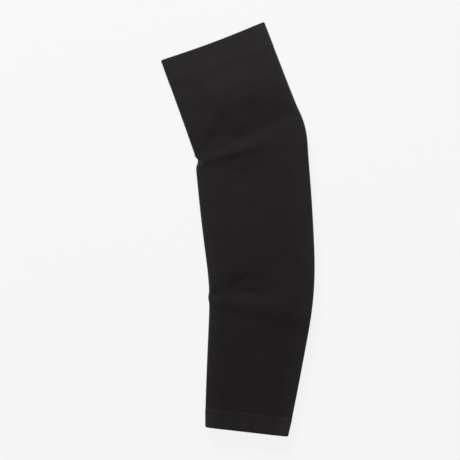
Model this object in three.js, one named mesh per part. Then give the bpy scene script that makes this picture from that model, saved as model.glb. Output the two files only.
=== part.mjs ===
// A knitted arm sleeve lying flat on a surface, bent a little at the elbow as it comes off the arm.
// It is a tapered, hollow tube of stretch knit with a doubled band round the upper arm and a turned
// hem round the wrist. Millimetres, +Z up. The sleeve lies on z = 0 with +Y running from the wrist
// to the upper arm, and the origin is under the middle of its footprint. The inner side of the bend,
// where the creases start, faces -X.
import * as THREE from "three";
import { LoftGeometry } from "three/addons/geometries/LoftGeometry.js";

// Lengths along the middle line of the sleeve
const LENGTH = 398;
const WRIST_HEM = 19;
const UPPER_BAND = 27;
const SEAM_GAP = 0.3;

// Cloth thicknesses: the single knit of the tube, and the doubled knit of the band and hem
const KNIT = 1.2;
const DOUBLED_KNIT = 2.0;
const BAND_PROUD = 0.2;

// The shape of a section: how square its shoulders are, the height of its side folds, and the share
// of its width that lies flat underneath
const SHOULDER = 5;
const SIDE_FOLD_HEIGHT = 4.5;
const FLAT_SHARE = 0.8;

// Flat width and height of the lying tube, from the wrist edge to the upper edge
const SECTIONS = [
  { along: 0, width: 83, height: 9 },
  { along: 20, width: 87.5, height: 8.4 },
  { along: 75, width: 96, height: 10.3 },
  { along: 140, width: 104.5, height: 12.6 },
  { along: 210, width: 111, height: 12.8 },
  { along: 280, width: 113, height: 12.6 },
  { along: 330, width: 111.5, height: 13.4 },
  { along: LENGTH, width: 110, height: 10.6 },
];

// The way the sleeve points at the wrist, and its two bends, in degrees towards -X
const WRIST_LEAN = -6.5;
const BENDS = [
  { along: 145, turn: 11.5, spread: 89 },
  { along: 290, turn: 15.5, spread: 26 },
];

// Creases of the upper layer. Each runs across the sleeve: "across" is how far from the inner side
// fold it starts and ends, "along" where those ends are, and "lift" its height there, with valleys
// negative. "above" and "below" are how far it spreads towards the upper arm and towards the wrist.
const CREASES = {
  upperDome: { across: [30, 104], along: [336, 342], lift: [1.6, 1.6], above: [22, 22], below: [14, 18] },
  upperFan: { across: [8, 40], along: [297, 322], lift: [-0.7, -0.6], above: [3, 6], below: [14, 14] },
  fanFold: { across: [12, 58], along: [311, 297], lift: [-0.9, -0.6], above: [6, 6], below: [16, 10] },
  upperValley: { across: [38, 118], along: [295, 305], lift: [-1, -2], above: [9, 16], below: [7, 10] },
  elbowRidge: { across: [-6, 90], along: [272, 292], lift: [0.6, 0.9], above: [9, 8], below: [4, 7] },
  elbowTuck: { across: [4, 60], along: [271, 278], lift: [-0.6, -0.5], above: [4, 4], below: [24, 24] },
  elbowDip: { across: [26, 84], along: [259, 264], lift: [-0.9, -0.9], above: [8, 7], below: [24, 24] },
  elbowSwell: { across: [50, 96], along: [180, 180], lift: [0.15, 0.15], above: [10, 10], below: [10, 10] },
  foreFan: { across: [-6, 54], along: [130, 164], lift: [-0.9, -1.1], above: [5, 9], below: [20, 18] },
  foreFold: { across: [20, 70], along: [150, 155], lift: [-0.8, -1.1], above: [9, 9], below: [18, 18] },
  foreValley: { across: [-2, 72], along: [135, 144], lift: [-0.6, -0.6], above: [3.5, 4], below: [14, 8] },
  foreRidge: { across: [-4, 90], along: [130, 120], lift: [0.8, 0.9], above: [12, 8], below: [7, 9] },
  outerSwell: { across: [52, 136], along: [124, 124], lift: [0.9, 0.9], above: [22, 22], below: [14, 14] },
};

// Shares of a crease's run by which it has risen to its height and from which it fades out, how near
// a side fold the creases die away, and how round the bottom of a valley is
const CREASE_RISES_BY = 0.15;
const CREASE_FADES_FROM = 0.6;
const CREASE_EDGE_FADE = 6;
const PINCH_ROUNDING = 0.3;

// Where the creases pull a side fold in, or push it out (negative)
const INNER_SIDE = -1;
const OUTER_SIDE = 1;
const NOTCHES = [
  { side: INNER_SIDE, along: 276.5, depth: 2.6, breadth: 4.5 },
  { side: OUTER_SIDE, along: 293, depth: -1, breadth: 11 },
  { side: INNER_SIDE, along: 132, depth: -1, breadth: 5 },
];
const NOTCH_REACH = 16;

// The upper mouth's edge is bowed: how far its middle lies back from its corners, and the stretch
// from the mouth in which the bow dies away
const MOUTH_BOW = 1.6;
const BOW_STRETCH = 60;

// Facets: steps round the upper layer, one side curve and the flat underside, and the spacing of
// sections along the sleeve away from the creases and across them
const UPPER_STEPS = 24;
const CURVE_STEPS = 4;
const FLAT_STEPS = 4;
const COARSE_STEP = 11;
const FINE_STEP = 3.2;
const CREASED_STRETCHES = [
  { from: 112, to: 172 },
  { from: 248, to: 330 },
];
const EDGE_STEPS = 4;

const { smoothstep, degToRad, lerp, inverseLerp } = THREE.MathUtils;

// A column of SECTIONS at any place along the sleeve, on a smooth curve through the rows.
function sectionSize(column, along) {
  const slope = (i) => {
    const before = SECTIONS[Math.max(i - 1, 0)];
    const after = SECTIONS[Math.min(i + 1, SECTIONS.length - 1)];
    return (after[column] - before[column]) / (after.along - before.along);
  };
  const next = Math.max(1, SECTIONS.findIndex((row) => row.along >= along));
  const [a, b] = [SECTIONS[next - 1], SECTIONS[next]];
  const span = b.along - a.along;
  const t = (along - a.along) / span;
  const eased = smoothstep(t, 0, 1);
  const swing = t * (1 - t) * span;
  return lerp(a[column], b[column], eased) + swing * ((1 - t) * slope(next - 1) - t * slope(next));
}

// The direction of the middle line, as an angle from +Y towards -X.
function lean(along) {
  const turned = BENDS.map(({ along: at, turn, spread }) =>
    turn * smoothstep(along, at - spread / 2, at + spread / 2));
  return degToRad(WRIST_LEAN + turned.reduce((sum, turn) => sum + turn, 0));
}

// The middle line, walked from the wrist edge in steps of 1 mm.
const middleLine = [new THREE.Vector2(0, 0)];
for (let along = 0.5; along < LENGTH; along += 1) {
  const step = new THREE.Vector2(-Math.sin(lean(along)), Math.cos(lean(along)));
  middleLine.push(middleLine.at(-1).clone().add(step));
}

function middleAt(along) {
  const i = Math.min(Math.floor(along), LENGTH - 1);
  return middleLine[i].clone().lerp(middleLine[i + 1], along - i);
}

// A soft bump of height 1 at 0 that has died away two breadths from it.
const bump = (distance, breadth) => Math.exp(-((distance / breadth) ** 2));

// A bump of height 1 that comes to a nearly sharp point, as a valley of pinched cloth does.
const pinch = (distance, breadth) =>
  Math.exp(PINCH_ROUNDING - Math.hypot(distance / breadth, PINCH_ROUNDING));

// Height that the creases add to the upper layer, "across" mm from the inner side fold.
function creaseLift(along, across, width) {
  let lift = 0;
  for (const crease of Object.values(CREASES)) {
    const run = inverseLerp(...crease.across, across);
    if (run <= 0 || run >= 1) continue;
    const fade = smoothstep(run, 0, CREASE_RISES_BY) * (1 - smoothstep(run, CREASE_FADES_FROM, 1));
    const distance = along - lerp(...crease.along, run);
    const breadth = lerp(...(distance > 0 ? crease.above : crease.below), run);
    const height = lerp(...crease.lift, run);
    const profile = height > 0 ? bump : pinch;
    lift += height * fade * profile(distance, breadth);
  }
  const edge = Math.min(across, width - across);
  return lift * smoothstep(edge, 0, CREASE_EDGE_FADE);
}

// How far the notches move a point towards the outer side, fading out across the sleeve.
function notchShift(along, across, width) {
  return NOTCHES.reduce((shift, notch) => {
    const fromSide = notch.side === INNER_SIDE ? across : width - across;
    const depth = notch.depth * bump(along - notch.along, notch.breadth);
    return shift - notch.side * depth * (1 - smoothstep(fromSide, 0, NOTCH_REACH));
  }, 0);
}

// The outline of a section in its own plane, from the inner side fold over the top to the outer
// side fold and back underneath: x from -1 to 1, rise from -1 (underneath) to 1 (top).
function outline() {
  const points = [];
  for (let i = 0; i < UPPER_STEPS; i += 1) {
    const x = -Math.cos((Math.PI * i) / UPPER_STEPS);
    points.push({ x, rise: (1 - Math.abs(x) ** SHOULDER) ** (1 / SHOULDER) });
  }
  const under = [];
  for (let i = 0; i <= CURVE_STEPS; i += 1) {
    const angle = (Math.PI / 2) * (i / CURVE_STEPS);
    under.push({ x: FLAT_SHARE + (1 - FLAT_SHARE) * Math.cos(angle), rise: -Math.sin(angle) });
  }
  for (let i = 1; i < FLAT_STEPS / 2; i += 1) {
    under.push({ x: FLAT_SHARE * (1 - (2 * i) / FLAT_STEPS), rise: -1 });
  }
  const mirrored = under.slice(1).reverse().map(({ x, rise }) => ({ x: -x, rise }));
  return [...points, ...under, { x: 0, rise: -1 }, ...mirrored];
}
const OUTLINE = outline();

// One ring of the tube, "inset" mm inside the face of the single knit. The face that lies on the
// surface stays there, so a band stands proud only above and at the sides.
function ring({ along, inset }) {
  const bottom = Math.max(inset, 0);
  const bow = MOUTH_BOW * smoothstep(along, LENGTH - BOW_STRETCH, LENGTH);
  return OUTLINE.map(({ x, rise }) => {
    const bowed = along - bow * (1 - x * x);
    const width = sectionSize("width", bowed);
    const top = sectionSize("height", bowed) - inset;
    const middle = middleAt(bowed);
    const angle = lean(bowed);
    const reach = rise < 0 ? SIDE_FOLD_HEIGHT - bottom : top - SIDE_FOLD_HEIGHT;
    const offset = x * (width / 2 - inset);
    const across = offset + width / 2;
    const lift = rise > 0 ? creaseLift(bowed, across, width) : 0;
    const shifted = offset + notchShift(bowed, across, width);
    return new THREE.Vector3(
      middle.x + shifted * Math.cos(angle),
      middle.y + shifted * Math.sin(angle),
      SIDE_FOLD_HEIGHT + rise * reach + lift,
    );
  });
}

// Places along the sleeve where a section is taken, closer together across the creases.
function stations(from, to) {
  const creased = (at) => CREASED_STRETCHES.some((s) => at >= s.from && at < s.to);
  const places = [from];
  let next = from;
  while (true) {
    const step = creased(next) ? FINE_STEP : COARSE_STEP;
    next += step;
    if (next > to - step / 2) break;
    places.push(next);
  }
  return [...places, to];
}

// A closed wall lofted round the tube: a profile of places along and inset, out and back again.
function wallGeometry(profile) {
  return new LoftGeometry([...profile, profile[0]].map(ring));
}

// The profile of the tube: up its outer face and back down its inner face.
function tubeProfile(from, to) {
  const places = stations(from, to);
  const outer = places.map((along) => ({ along, inset: 0 }));
  const inner = places.toReversed().map((along) => ({ along, inset: KNIT }));
  return [...outer, ...inner];
}

// The profile of a doubled band, from its seam edge to its folded edge, which is half round.
function bandProfile(seam, fold) {
  const half = DOUBLED_KNIT / 2;
  const centre = half - BAND_PROUD;
  const outwards = Math.sign(fold - seam);
  const roundCentre = fold - outwards * half;
  const places = stations(Math.min(seam, roundCentre), Math.max(seam, roundCentre));
  if (outwards < 0) places.reverse();
  const outer = places.map((along) => ({ along, inset: centre - half }));
  const inner = places.toReversed().map((along) => ({ along, inset: centre + half }));
  const edge = [];
  for (let i = 1; i < EDGE_STEPS; i += 1) {
    const angle = Math.PI * (i / EDGE_STEPS);
    edge.push({
      along: roundCentre + outwards * half * Math.sin(angle),
      inset: centre - half * Math.cos(angle),
    });
  }
  const profile = [...outer, ...edge, ...inner];
  return outwards < 0 ? profile.reverse() : profile;
}

const blackKnit = new THREE.MeshStandardMaterial({ color: 0x242021, roughness: 0.9, metalness: 0 });
const blackBand = new THREE.MeshStandardMaterial({ color: 0x272325, roughness: 0.88, metalness: 0 });

function piece(name, profile, material) {
  const mesh = new THREE.Mesh(wallGeometry(profile), material);
  mesh.name = name;
  return mesh;
}

const wristSeam = WRIST_HEM;
const upperSeam = LENGTH - UPPER_BAND;
const sleeve = new THREE.Group();
sleeve.add(
  piece("wrist_hem", bandProfile(wristSeam - SEAM_GAP / 2, 0), blackBand),
  piece("sleeve_tube", tubeProfile(wristSeam + SEAM_GAP / 2, upperSeam - SEAM_GAP / 2), blackKnit),
  piece("upper_band", bandProfile(upperSeam + SEAM_GAP / 2, LENGTH), blackBand),
);

// The origin goes under the middle of the footprint.
const footprint = new THREE.Box3().setFromObject(sleeve).getCenter(new THREE.Vector3());
sleeve.position.set(-footprint.x, -footprint.y, 0);

export default sleeve;
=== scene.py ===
import math
from bisect import bisect
from collections import namedtuple
from itertools import accumulate

import bmesh
import bpy
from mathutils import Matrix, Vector
from mathutils.noise import noise


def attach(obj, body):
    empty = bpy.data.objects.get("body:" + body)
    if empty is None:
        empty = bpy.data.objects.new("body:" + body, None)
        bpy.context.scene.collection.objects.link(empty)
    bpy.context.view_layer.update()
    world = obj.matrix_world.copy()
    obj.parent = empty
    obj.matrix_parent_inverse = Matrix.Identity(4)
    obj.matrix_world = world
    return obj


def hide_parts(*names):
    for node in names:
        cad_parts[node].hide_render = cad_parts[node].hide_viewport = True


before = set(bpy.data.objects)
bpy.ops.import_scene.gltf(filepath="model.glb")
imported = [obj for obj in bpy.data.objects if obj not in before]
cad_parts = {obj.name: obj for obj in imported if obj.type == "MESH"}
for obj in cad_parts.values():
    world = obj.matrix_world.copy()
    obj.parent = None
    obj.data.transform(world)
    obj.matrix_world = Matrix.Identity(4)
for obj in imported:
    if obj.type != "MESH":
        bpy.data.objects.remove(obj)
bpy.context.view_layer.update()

# The tube: jersey of polyamide and elastane yarn, knitted in the round with no long seam and narrowed
# towards the wrist. It lies as it came off the arm, bent a little at the elbow, and its upper layer
# has creased in two fans that start at the inner side fold. Its sizes are in millimetres.
MM = 0.001
SLEEVE_LENGTH = 398
HEM_DEPTH = 19
BAND_DEPTH = 27
JERSEY_THICKNESS = 1.2

# Flat width and height of the lying tube, from the wrist edge to the upper edge.
Section = namedtuple("Section", "along width height")
SECTIONS = [
    Section(along=0, width=83, height=9),
    Section(along=20, width=87.5, height=8.4),
    Section(along=75, width=96, height=10.3),
    Section(along=140, width=104.5, height=12.6),
    Section(along=210, width=111, height=12.8),
    Section(along=280, width=113, height=12.6),
    Section(along=330, width=111.5, height=13.4),
    Section(along=SLEEVE_LENGTH, width=110, height=10.6),
]


def smooth_step(value, low, high):
    """0 up to low, 1 from high on, and an even S between them."""
    share = min(max((value - low) / (high - low), 0), 1)
    return share * share * (3 - 2 * share)


def between(pair, share):
    """The value at a share of the way from the first of a pair to the second."""
    return pair[0] + (pair[1] - pair[0]) * share


def size_at(measure, along):
    """The width or height anywhere along the sleeve, on a smooth curve through the sections."""
    last = len(SECTIONS) - 1
    after = next(i for i in range(1, last + 1) if SECTIONS[i].along >= along or i == last)

    def slope(i):
        low, high = SECTIONS[max(i - 1, 0)], SECTIONS[min(i + 1, last)]
        return (getattr(high, measure) - getattr(low, measure)) / (high.along - low.along)

    start, end = SECTIONS[after - 1], SECTIONS[after]
    span = end.along - start.along
    share = (along - start.along) / span
    level = between((getattr(start, measure), getattr(end, measure)), smooth_step(share, 0, 1))
    swing = share * (1 - share) * span
    return level + swing * ((1 - share) * slope(after - 1) - share * slope(after))


# The way the sleeve points at the wrist, and its two bends, in degrees towards the inner side.
WRIST_LEAN = -6.5
Bend = namedtuple("Bend", "along turn spread")
BENDS = [
    Bend(along=145, turn=11.5, spread=89),
    Bend(along=290, turn=15.5, spread=26),
]


def lean_at(along):
    """The way the middle line points, as an angle from +Y towards -X."""
    turned = sum(
        bend.turn * smooth_step(along, bend.along - bend.spread / 2, bend.along + bend.spread / 2)
        for bend in BENDS
    )
    return math.radians(WRIST_LEAN + turned)


# The middle line, walked from the wrist edge in steps of 1 mm.
middle_line = [Vector((0, 0))]
for step in range(SLEEVE_LENGTH):
    lean = lean_at(step + 0.5)
    middle_line.append(middle_line[-1] + Vector((-math.sin(lean), math.cos(lean))))


def middle_at(along):
    """The place of the middle line anywhere along the sleeve."""
    step = min(int(along), SLEEVE_LENGTH - 1)
    return middle_line[step].lerp(middle_line[step + 1], along - step)


# Creases of the upper layer. Each runs across the sleeve: "across" is how far from the inner side
# fold it starts and ends, "along" where those ends are, and "lift" its height there, with valleys
# negative. "above" and "below" are how far it spreads towards the upper arm and towards the wrist.
Crease = namedtuple("Crease", "across along lift above below")
CREASES = dict(
    upper_dome=Crease(across=(30, 104), along=(336, 342), lift=(1.6, 1.6), above=(22, 22), below=(14, 18)),
    upper_fan=Crease(across=(8, 40), along=(297, 322), lift=(-0.7, -0.6), above=(3, 6), below=(14, 14)),
    fan_fold=Crease(across=(12, 58), along=(311, 297), lift=(-0.9, -0.6), above=(6, 6), below=(16, 10)),
    upper_valley=Crease(across=(38, 118), along=(295, 305), lift=(-1, -2), above=(9, 16), below=(7, 10)),
    elbow_ridge=Crease(across=(-6, 90), along=(272, 292), lift=(0.6, 0.9), above=(9, 8), below=(4, 7)),
    elbow_tuck=Crease(across=(4, 60), along=(271, 278), lift=(-0.6, -0.5), above=(4, 4), below=(24, 24)),
    elbow_dip=Crease(across=(26, 84), along=(259, 264), lift=(-0.9, -0.9), above=(8, 7), below=(24, 24)),
    elbow_swell=Crease(across=(50, 96), along=(180, 180), lift=(0.15, 0.15), above=(10, 10), below=(10, 10)),
    fore_fan=Crease(across=(-6, 54), along=(130, 164), lift=(-0.9, -1.1), above=(5, 9), below=(20, 18)),
    fore_fold=Crease(across=(20, 70), along=(150, 155), lift=(-0.8, -1.1), above=(9, 9), below=(18, 18)),
    fore_valley=Crease(across=(-2, 72), along=(135, 144), lift=(-0.6, -0.6), above=(3.5, 4), below=(14, 8)),
    fore_ridge=Crease(across=(-4, 90), along=(130, 120), lift=(0.8, 0.9), above=(12, 8), below=(7, 9)),
    outer_swell=Crease(across=(52, 136), along=(124, 124), lift=(0.9, 0.9), above=(22, 22), below=(14, 14)),
)

# Shares of a crease's run by which it has risen to its height and from which it fades out, how near
# a side fold the creases die away, and how round the bottom of a valley is.
CREASE_RISES_BY = 0.15
CREASE_FADES_FROM = 0.6
CREASE_EDGE_FADE = 6
PINCH_ROUNDING = 0.3

# Slack in the knit: slow swells of the upper layer.
SLACK_HEIGHT = 0.3
SLACK_SPACING = 18


def bump(distance, breadth):
    """A soft bump of height 1 that has died away two breadths from its line."""
    return math.exp(-((distance / breadth) ** 2))


def pinch(distance, breadth):
    """A bump of height 1 that comes to a nearly sharp point, as a valley of pinched cloth does."""
    return math.exp(PINCH_ROUNDING - math.hypot(distance / breadth, PINCH_ROUNDING))


def crease_lift(along, across, width):
    """What the creases and the slack add to the height of the upper layer."""
    lift = 0
    for crease in CREASES.values():
        run = (across - crease.across[0]) / (crease.across[1] - crease.across[0])
        if not 0 < run < 1:
            continue
        fade = smooth_step(run, 0, CREASE_RISES_BY) * (1 - smooth_step(run, CREASE_FADES_FROM, 1))
        distance = along - between(crease.along, run)
        spread = between(crease.above if distance > 0 else crease.below, run)
        height = between(crease.lift, run)
        profile = bump if height > 0 else pinch
        lift += height * fade * profile(distance, spread)
    slack = SLACK_HEIGHT * noise(Vector((across, along, 0)) / SLACK_SPACING)
    edge = min(across, width - across)
    return (lift + slack) * smooth_step(edge, 0, CREASE_EDGE_FADE)


# Where the creases pull a side fold in, or push it out (negative), and how far across that reaches.
INNER_SIDE, OUTER_SIDE = -1, 1
Notch = namedtuple("Notch", "side along depth breadth")
NOTCHES = [
    Notch(side=INNER_SIDE, along=276.5, depth=2.6, breadth=4.5),
    Notch(side=OUTER_SIDE, along=293, depth=-1, breadth=11),
    Notch(side=INNER_SIDE, along=132, depth=-1, breadth=5),
]
NOTCH_REACH = 16


def notch_shift(along, across, width):
    """How far the notches move a point towards the outer side, fading out across the sleeve."""
    shift = 0
    for notch in NOTCHES:
        from_side = across if notch.side == INNER_SIDE else width - across
        depth = notch.depth * bump(along - notch.along, notch.breadth)
        shift -= notch.side * depth * (1 - smooth_step(from_side, 0, NOTCH_REACH))
    return shift


# The shape of a section: the height of its side folds, how square its shoulders are, and the share of
# its width that lies flat underneath. The steps round it are even on a section near the middle.
SIDE_FOLD_HEIGHT = 4.5
SHOULDER_SQUARENESS = 5
FLAT_SHARE = 0.8
TYPICAL_SECTION = SECTIONS[4]
ROUND_STEPS = 160
OUTLINE_SAMPLES = 400


def even_outline():
    """Points at even distances round a section, from the inner side fold over the top and back
    underneath, as shares of its half width and of its height above or below the side folds."""
    shares = [i / OUTLINE_SAMPLES for i in range(OUTLINE_SAMPLES)]
    angles = [math.pi / 2 * share for share in shares]
    curl = 1 - FLAT_SHARE
    top = []
    for share in shares:
        x = -math.cos(math.pi * share)
        top.append(Vector((x, (1 - abs(x) ** SHOULDER_SQUARENESS) ** (1 / SHOULDER_SQUARENESS))))
    outer_curl = [Vector((FLAT_SHARE + curl * math.cos(angle), -math.sin(angle))) for angle in angles]
    underside = [Vector((FLAT_SHARE * (1 - 2 * share), -1)) for share in shares]
    inner_curl = [Vector((-FLAT_SHARE - curl * math.sin(angle), -math.cos(angle))) for angle in angles]
    points = [*top, *outer_curl, *underside, *inner_curl, top[0]]

    half_width = TYPICAL_SECTION.width / 2
    above = TYPICAL_SECTION.height - SIDE_FOLD_HEIGHT
    places = [
        Vector((x * half_width, rise * (above if rise > 0 else SIDE_FOLD_HEIGHT))) for x, rise in points
    ]
    reach = [0, *accumulate((end - start).length for start, end in zip(places, places[1:]))]
    outline = []
    for column in range(ROUND_STEPS):
        goal = column * reach[-1] / ROUND_STEPS
        after = bisect(reach, goal)
        share = (goal - reach[after - 1]) / (reach[after] - reach[after - 1])
        outline.append(points[after - 1].lerp(points[after], share))
    return outline


OUTLINE = even_outline()

# The upper mouth's edge is bowed: how far its middle lies back from its corners, and the stretch
# from the mouth in which the bow dies away.
MOUTH_BOW = 1.6
BOW_STRETCH = 60


def cloth_point(column, along, inset):
    """Where a point of the sleeve lies, before the sleeve is centred: a column of the outline, a place
    along the sleeve and a depth under the face of the jersey, which is negative where it stands proud."""
    x, rise = OUTLINE[column]
    bow = MOUTH_BOW * smooth_step(along, SLEEVE_LENGTH - BOW_STRETCH, SLEEVE_LENGTH)
    along -= bow * (1 - x * x)
    width = size_at("width", along)
    offset = x * (width / 2 - inset)
    across = offset + width / 2
    if rise > 0:
        reach = size_at("height", along) - inset - SIDE_FOLD_HEIGHT
        lift = crease_lift(along, across, width)
    else:
        reach = SIDE_FOLD_HEIGHT - max(inset, 0)
        lift = 0
    offset += notch_shift(along, across, width)
    lean = lean_at(along)
    middle = middle_at(along)
    return Vector((
        middle.x + offset * math.cos(lean),
        middle.y + offset * math.sin(lean),
        SIDE_FOLD_HEIGHT + rise * reach + lift,
    ))


def girth_at(along):
    """The length of jersey once round the sleeve, creases included."""
    ring = [cloth_point(column, along, 0) for column in range(ROUND_STEPS)]
    return sum((end - start).length for start, end in zip(ring, ring[1:] + ring[:1]))


# The sleeve's footprint is centred on the origin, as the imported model's is. Every second column of the
# outline is enough to measure it.
footprint = [
    cloth_point(column, along, 0)
    for along in range(SLEEVE_LENGTH + 1)
    for column in range(0, ROUND_STEPS, 2)
]
corner_low = Vector((min(point.x for point in footprint), min(point.y for point in footprint), 0))
corner_high = Vector((max(point.x for point in footprint), max(point.y for point in footprint), 0))
CENTRING = -(corner_low + corner_high) / 2

# Painted sheen: the side folds are painted paler between these shares of the half width, standing in for
# light that catches them at a slant, most of all at the wrist and on the outer side of the arm.
SHEEN_PAINTED_FROM = 0.55
SHEEN_PAINTED_FULLY = 1.0
SHEEN_PAINTED_AT_UPPER_END = 0.1
SHEEN_PAINTED_ON_INNER_SIDE = 0.7


def painted_sheen_share(column, along):
    """How far the side folds are painted paler, as painted sheen, from 0 to 1."""
    x = OUTLINE[column].x
    side = SHEEN_PAINTED_ON_INNER_SIDE if x < 0 else 1
    fade = between((1, SHEEN_PAINTED_AT_UPPER_END), along / SLEEVE_LENGTH)
    return side * fade * smooth_step(abs(x), SHEEN_PAINTED_FROM, SHEEN_PAINTED_FULLY)


# A rolled-up grid is closed where points of its two meeting sides are nearer than this, in metres.
WELD = 0.001 * MM


def knit_round(name, profile):
    """A tube of cloth: a flat grid rolled up and closed. Its columns are counted round the sleeve, and its
    rows follow the profile, a list of places along the sleeve and depths. Its UV map follows the cloth."""
    rows = len(profile) - 1
    steps = [math.dist(start, end) for start, end in zip(profile, profile[1:])]
    reach = [0, *accumulate(steps)]
    cloth = bmesh.new()
    uv = cloth.loops.layers.uv.new("knit")
    # Each point carries its share of painted sheen: paler colour painted on the side folds, as if light
    # caught them at a slant.
    painted_sheen = cloth.verts.layers.float.new("painted_sheen")
    # The flat grid is 1 wide each way and centred, so a half is added to count its columns and rows.
    bmesh.ops.create_grid(cloth, x_segments=ROUND_STEPS, y_segments=rows, size=0.5, calc_uvs=True)
    for face in cloth.faces:
        face.smooth = True
        for loop in face.loops:
            loop[uv].uv.y = reach[round(loop[uv].uv.y * rows)] / reach[-1]
    for vert in cloth.verts:
        column = round((vert.co.x + 0.5) * ROUND_STEPS) % ROUND_STEPS
        along, inset = profile[round((vert.co.y + 0.5) * rows)]
        vert.co = (cloth_point(column, along, inset) + CENTRING) * MM
        vert[painted_sheen] = painted_sheen_share(column, along)
    bmesh.ops.remove_doubles(cloth, verts=cloth.verts, dist=WELD)
    # Its cut edges stay crisp once the cloth has its thickness.
    for edge in cloth.edges:
        edge.smooth = not edge.is_boundary
    mesh = bpy.data.meshes.new(name)
    cloth.to_mesh(mesh)
    cloth.free()
    piece = bpy.data.objects.new(name, mesh)
    bpy.context.scene.collection.objects.link(piece)
    return piece


def thicken(piece, thickness):
    """Gives a cloth its thickness, inwards from the face that was made."""
    wall = piece.modifiers.new("thickness", "SOLIDIFY")
    wall.thickness = thickness * MM
    wall.offset = -1
    wall.use_even_offset = True


# The tube's own stretch, between the two turned bands.
TUBE_STEPS = 290
TUBE_START = HEM_DEPTH
TUBE_END = SLEEVE_LENGTH - BAND_DEPTH
TUBE_LENGTH = TUBE_END - TUBE_START
tube_places = [between((TUBE_START, TUBE_END), step / TUBE_STEPS) for step in range(TUBE_STEPS + 1)]
tube = knit_round("jersey_tube", [(place, 0) for place in tube_places])
thicken(tube, JERSEY_THICKNESS)


def linear(hex_colour):
    """An sRGB hex colour as the linear colour that a shader takes."""
    colour = []
    for digit in (1, 3, 5):
        channel = int(hex_colour[digit:digit + 2], 16) / 255
        colour.append(channel / 12.92 if channel <= 0.04045 else ((channel + 0.055) / 1.055) ** 2.4)
    return [*colour, 1]


def add_node(tree, kind, inputs, **settings):
    """Adds a node with its settings. An input is a value, or another node's output to link."""
    node = tree.nodes.new(kind)
    for name, value in settings.items():
        setattr(node, name, value)
    for socket, value in inputs.items():
        if isinstance(value, bpy.types.NodeSocket):
            tree.links.new(value, node.inputs[socket])
        else:
            node.inputs[socket].default_value = value
    return node


# Stitches of the jersey. Real columns of them are about 0.7 mm wide and real rows 0.5 mm apart, too
# fine to show, so they are drawn over three times as coarse. Each stitch is two legs that slant and
# meet in the middle of its column, and the slant is in rows for each column's width.
COLUMN_WIDTH = 2.4
ROW_SPACING = 1.8
LEG_SLANT = 1.2
STITCH_RELIEF = 0.08
# How strongly painted shade darkens the hollows between the stitches.
PAINTED_STITCH_SHADE = 0.4


def stitch_pattern(tree, cloth, girth, length):
    """The height of the stitches, from -1 to 1. Their columns run along the sleeve."""
    stitches = add_node(
        tree, "ShaderNodeMapping",
        {"Vector": cloth.outputs["UV"], "Scale": (girth / COLUMN_WIDTH, length / ROW_SPACING, 1)},
    )
    place = add_node(tree, "ShaderNodeSeparateXYZ", {"Vector": stitches.outputs["Vector"]})
    # From 0 at the sides of a column to 0.5 at its middle, so that its two legs mirror each other.
    half_column = add_node(
        tree, "ShaderNodeMath", {0: place.outputs["X"], 1: 0.5}, operation="PINGPONG",
    )
    slanted_row = add_node(
        tree, "ShaderNodeMath", {0: half_column.outputs[0], 1: LEG_SLANT, 2: place.outputs["Y"]},
        operation="MULTIPLY_ADD",
    )
    row_angle = add_node(
        tree, "ShaderNodeMath", {0: slanted_row.outputs[0], 1: math.tau}, operation="MULTIPLY",
    )
    rows = add_node(tree, "ShaderNodeMath", {0: row_angle.outputs[0]}, operation="SINE")
    # Each leg is fullest in its own middle and dies away at the side and middle of the column.
    leg_angle = add_node(
        tree, "ShaderNodeMath", {0: half_column.outputs[0], 1: math.tau}, operation="MULTIPLY",
    )
    legs = add_node(tree, "ShaderNodeMath", {0: leg_angle.outputs[0]}, operation="SINE")
    loops = add_node(
        tree, "ShaderNodeMath", {0: rows.outputs[0], 1: legs.outputs[0]}, operation="MULTIPLY",
    )
    return loops.outputs[0]


# The yarn: dull polyamide. Patches of it a few millimetres across take the dye and the light a little
# differently, and fine loose fibres give it a trace of sheen at a slant.
YARN_PATCH = 4.5
YARN_DETAIL = 4.0
YARN_UNEVENNESS = 0.6
YARN_ROUGHNESS = (0.82, 0.95)
POLYAMIDE_IOR = 1.53
YARN_SPECULAR = 0.2
FIBRE_SHEEN = 0.04
FIBRE_SHEEN_ROUGHNESS = 0.5


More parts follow.
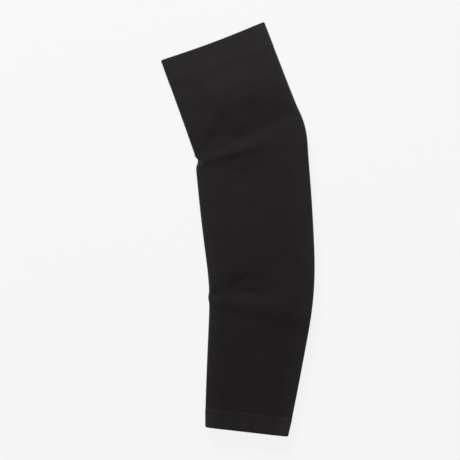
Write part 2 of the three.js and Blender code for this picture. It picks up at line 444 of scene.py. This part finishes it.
def jersey(name, dark, light, painted_sheen_colour, girth, length):
    """Black polyamide jersey, knitted of fine dull yarn: matt, with a faint sheen, uneven in tone from patch
    to patch of yarn, and with painted sheen: its side folds are painted paler."""
    material = bpy.data.materials.new(name)
    material.use_nodes = True
    tree = material.node_tree
    shader = tree.nodes["Principled BSDF"]
    cloth = add_node(tree, "ShaderNodeUVMap", {}, uv_map="knit")
    stitches = stitch_pattern(tree, cloth, girth, length)
    relief = add_node(
        tree, "ShaderNodeBump", {"Height": stitches, "Strength": 1.0, "Distance": STITCH_RELIEF * MM},
    )
    tree.links.new(relief.outputs["Normal"], shader.inputs["Normal"])

    patches = add_node(
        tree, "ShaderNodeMapping",
        {"Vector": cloth.outputs["UV"], "Scale": (girth / YARN_PATCH, length / YARN_PATCH, 1)},
    )
    yarn = add_node(
        tree, "ShaderNodeTexNoise",
        {
            "Vector": patches.outputs["Vector"], "Scale": 1.0,
            "Detail": YARN_DETAIL, "Roughness": YARN_UNEVENNESS,
        },
    )
    # Painted shade: the hollows between the stitches are painted darker than the stitches, on top of the
    # yarn's uneven tone.
    yarn_tone_and_painted_shade = add_node(
        tree, "ShaderNodeMath", {0: stitches, 1: PAINTED_STITCH_SHADE, 2: yarn.outputs["Fac"]},
        operation="MULTIPLY_ADD",
    )
    colour = add_node(
        tree, "ShaderNodeMix", {"Factor": yarn_tone_and_painted_shade.outputs[0], "A": linear(dark), "B": linear(light)},
        data_type="RGBA",
    )
    # Painted sheen: the side folds are mixed towards a paler colour, as if light caught them at a slant.
    painted_sheen = add_node(tree, "ShaderNodeAttribute", {}, attribute_name="painted_sheen")
    with_painted_sheen = add_node(
        tree, "ShaderNodeMix",
        {"Factor": painted_sheen.outputs["Fac"], "A": colour.outputs["Result"], "B": linear(painted_sheen_colour)},
        data_type="RGBA",
    )
    tree.links.new(with_painted_sheen.outputs["Result"], shader.inputs["Base Color"])
    smoothest, roughest = YARN_ROUGHNESS
    dullness = add_node(
        tree, "ShaderNodeMapRange",
        {"Value": yarn.outputs["Fac"], "To Min": smoothest, "To Max": roughest},
    )
    tree.links.new(dullness.outputs["Result"], shader.inputs["Roughness"])
    shader.inputs["IOR"].default_value = POLYAMIDE_IOR
    shader.inputs["Specular IOR Level"].default_value = YARN_SPECULAR
    shader.inputs["Sheen Weight"].default_value = FIBRE_SHEEN
    shader.inputs["Sheen Roughness"].default_value = FIBRE_SHEEN_ROUGHNESS
    return material


tube_girths = [girth_at(along) for along in range(TUBE_START, TUBE_END + 1)]
# Its palest colour is painted sheen for the side folds.
tube.data.materials.append(jersey(
    "black_polyamide_jersey", dark="#201c1e", light="#272325", painted_sheen_colour="#2e2a2c",
    girth=max(tube_girths), length=TUBE_LENGTH,
))
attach(tube, "root")
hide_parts("sleeve_tube")

# The turned bands: at each end the jersey is knitted on, turned inside and joined back on itself, so
# that it is doubled and grips the arm. The fold is the mouth's round edge, and the joined edge shows
# as a low step against the tube.
BAND_PROUD = 0.2
DOUBLED_THICKNESS = 2.0
STEP_RUN = 2.4

# Each layer is a little thinner than half the doubled band, so that the two lie clear of each other.
LAYER_THICKNESS = 0.95

# How finely the step, the fold and the faces are meshed.
STEP_POINTS = 4
FOLD_STEPS = 8
FACE_STEP = 1.5


def band_profile(seam, fold):
    """The outside of a doubled band as places along the sleeve and depths: from the step at its joined
    edge, over its face, round the fold and back along its inside."""
    outwards = math.copysign(1, fold - seam)
    depth = abs(fold - seam)
    radius = DOUBLED_THICKNESS / 2
    face_steps = round((depth - radius - STEP_RUN) / FACE_STEP)
    face_depths = [between((STEP_RUN, depth - radius), i / face_steps) for i in range(face_steps)]
    profile = []
    for i in range(STEP_POINTS):
        share = i / STEP_POINTS
        profile.append((STEP_RUN * share, -BAND_PROUD * math.sin(math.pi / 2 * share)))
    profile += [(place, -BAND_PROUD) for place in face_depths]
    for i in range(FOLD_STEPS + 1):
        angle = math.pi * i / FOLD_STEPS
        profile.append((
            depth - radius + radius * math.sin(angle),
            radius * (1 - math.cos(angle)) - BAND_PROUD,
        ))
    profile += [(place, DOUBLED_THICKNESS - BAND_PROUD) for place in reversed(face_depths)]
    profile.append((0, DOUBLED_THICKNESS - BAND_PROUD))
    return [(seam + outwards * place, inset) for place, inset in profile]


def turned_band(name, seam, fold):
    """One doubled band, knitted round from its joined edge to its fold and back. On its face the rows run
    from the wrist side to the upper side, as the tube's do, so that it points outwards."""
    profile = band_profile(seam, fold)
    if fold < seam:
        profile.reverse()
    band = knit_round(name, profile)
    thicken(band, LAYER_THICKNESS)
    girth = girth_at((seam + fold) / 2)
    length = 2 * abs(fold - seam)
    # The band's palest colour is painted sheen for its side folds.
    band.data.materials.append(jersey(
        name + "_jersey", dark="#231f21", light="#2a2628", painted_sheen_colour="#343032", girth=girth, length=length,
    ))
    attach(band, "root")
    return band


wrist_hem = turned_band("turned_wrist_hem", seam=TUBE_START, fold=0)
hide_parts("wrist_hem")
upper_band = turned_band("turned_upper_band", seam=TUBE_END, fold=SLEEVE_LENGTH)
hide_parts("upper_band")

# The floor: a plain white board, lit from within as well as from above, so that it stays an even
# pale white behind the black cloth and takes only a faint shadow. Its size and drop are in metres.
FLOOR_SIZE = 40
FLOOR_DROP = 0.1 * MM
FLOOR_GLOW = 0.87
board = bmesh.new()
bmesh.ops.create_grid(board, x_segments=1, y_segments=1, size=FLOOR_SIZE / 2)
bmesh.ops.translate(board, verts=board.verts, vec=(0, 0, -FLOOR_DROP))
floor_mesh = bpy.data.meshes.new("floor")
board.to_mesh(floor_mesh)
board.free()
floor = bpy.data.objects.new("floor", floor_mesh)
bpy.context.scene.collection.objects.link(floor)
white_board = bpy.data.materials.new("lit_white_board")
white_board.use_nodes = True
board_shader = white_board.node_tree.nodes["Principled BSDF"]
board_shader.inputs["Base Color"].default_value = linear("#505050")
board_shader.inputs["Roughness"].default_value = 1.0
board_shader.inputs["Specular IOR Level"].default_value = 0.0
board_shader.inputs["Emission Color"].default_value = linear("#ffffff")
board_shader.inputs["Emission Strength"].default_value = FLOOR_GLOW
floor_mesh.materials.append(white_board)

# The light: one large soft lamp beyond the upper end of the sleeve and to its left, low enough to
# show the creases, a far, low strip of white card to the right that lightens the outer side fold, and
# an even dim room. Places and sizes are in metres.
LIGHT_AIM = Vector((0, 0.05, 0))
ROOM_LIGHT = 0.11


def soft_light(name, place, power, shape, width, height):
    """A soft light that faces the sleeve."""
    light = bpy.data.lights.new(name, "AREA")
    light.shape = shape
    light.size = width
    light.size_y = height
    light.energy = power
    lamp = bpy.data.objects.new(name, light)
    lamp.location = place
    lamp.rotation_euler = (LIGHT_AIM - lamp.location).to_track_quat("-Z", "Y").to_euler()
    bpy.context.scene.collection.objects.link(lamp)


soft_light("soft_lamp", place=(-0.54, 1.66, 0.75), power=47, shape="ELLIPSE", width=0.6, height=0.6)
soft_light("white_card", place=(6, -2, 0.25), power=130, shape="RECTANGLE", width=4, height=0.3)
room = bpy.data.worlds.new("room")
room.use_nodes = True
room_shader = room.node_tree.nodes["Background"]
room_shader.inputs["Color"].default_value = linear("#ffffff")
room_shader.inputs["Strength"].default_value = ROOM_LIGHT
bpy.context.scene.world = room
bpy.context.scene.view_settings.view_transform = "Standard"

# The camera: straight above the sleeve, with the upper end at the top of the picture. Its long lens
# keeps the outline nearly free of perspective, and its height makes a millimetre a pixel at the height
# of the side folds.
PICTURE_WIDTH = 460 * MM
PICTURE_CENTRE = Vector((-7.8, -0.7, SIDE_FOLD_HEIGHT)) * MM
CAMERA_LENS = 85
camera_data = bpy.data.cameras.new("camera")
camera_data.lens = CAMERA_LENS
camera = bpy.data.objects.new("camera", camera_data)
camera_height = PICTURE_WIDTH * CAMERA_LENS / camera_data.sensor_width
camera.location = PICTURE_CENTRE + Vector((0, 0, camera_height))
bpy.context.scene.collection.objects.link(camera)
bpy.context.scene.camera = camera
